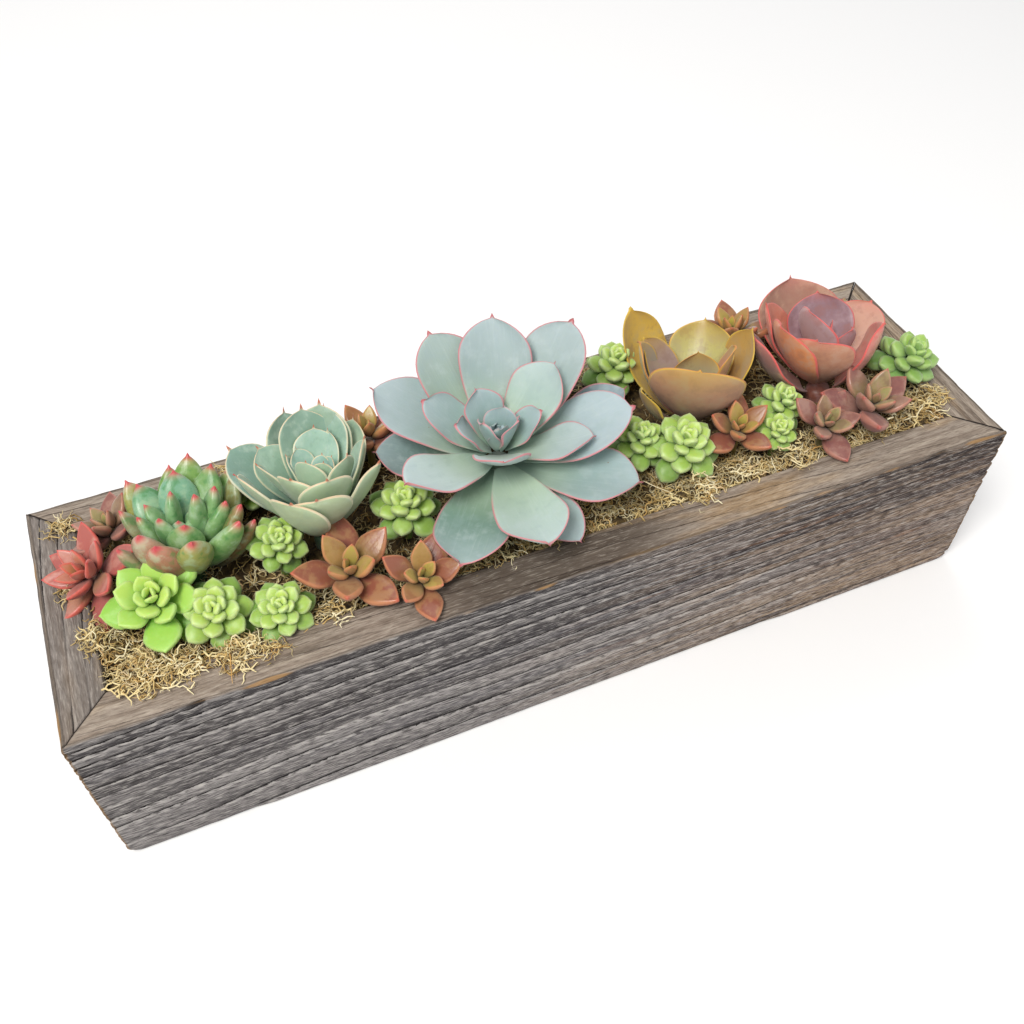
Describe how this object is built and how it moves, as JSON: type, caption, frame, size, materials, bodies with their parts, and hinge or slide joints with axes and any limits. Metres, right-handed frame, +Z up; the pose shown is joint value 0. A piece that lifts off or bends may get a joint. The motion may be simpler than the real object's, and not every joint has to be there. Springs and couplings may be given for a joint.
{
  "type": "floral table centerpiece",
  "caption": "Long mitred weathered-wood planter box filled with soil, dry moss, succulent rosettes and stonecrop heads, for the middle of a table.",
  "frame": {"origin": "middle of the box's underside, where it stands on the table", "axes": "+X along the box towards its right end, +Y towards its back, +Z up"},
  "size_m": [0.508, 0.146, 0.1807],
  "materials": {
    "weathered_board": "grey-brown weathered board with raised grain, matte, fresh tan wood at worn edges",
    "floor_plank": "plain sawn plank, matte",
    "potting_soil": "dark damp potting mix, rough",
    "dry_moss": "dry straw-coloured moss strands, rough",
    "blue_leaf": "blue-green leaf with a waxy matte bloom and a thin pink rim",
    "pale_leaf": "pale green waxy leaf with a cream rim and a small red point",
    "tipped_leaf": "plump green leaf with a red tip, satin",
    "amber_leaf": "mauve-brown leaf with an ochre rim, satin",
    "rose_leaf": "pink to orange-brown leaf with a red rim, satin",
    "bronze_leaf": "brown-pink keeled leaf, smooth satin",
    "stonecrop_leaf": "plump lime-green leaf with a pale bloom"
  },
  "bodies": {
    "root": {"front_board": "weathered_board", "back_board": "weathered_board", "left_board": "weathered_board", "right_board": "weathered_board", "floor_board": "floor_plank", "soil": "potting_soil", "moss_quilt": "dry_moss", "blue_rosette": "blue_leaf", "pale_rosette": "pale_leaf", "tipped_rosette": "tipped_leaf", "amber_rosette": "amber_leaf", "rose_rosette": "rose_leaf", "bronze_rosette_1": "bronze_leaf", "bronze_rosette_2": "bronze_leaf", "bronze_rosette_3": "bronze_leaf", "bronze_rosette_4": "bronze_leaf", "bronze_rosette_5": "bronze_leaf", "bronze_rosette_6": "bronze_leaf", "bronze_rosette_7": "bronze_leaf", "bronze_rosette_8": "bronze_leaf", "bronze_rosette_9": "bronze_leaf", "bronze_rosette_10": "bronze_leaf", "stonecrop_head_1": "stonecrop_leaf", "stonecrop_head_2": "stonecrop_leaf", "stonecrop_head_3": "stonecrop_leaf", "stonecrop_head_4": "stonecrop_leaf", "stonecrop_head_5": "stonecrop_leaf", "stonecrop_head_6": "stonecrop_leaf", "stonecrop_head_7": "stonecrop_leaf", "stonecrop_head_8": "stonecrop_leaf", "stonecrop_head_9": "stonecrop_leaf", "stonecrop_head_10": "stonecrop_leaf", "stonecrop_head_11": "stonecrop_leaf", "stonecrop_head_12": "stonecrop_leaf", "stonecrop_head_13": "stonecrop_leaf"}
  },
  "joints": []
}
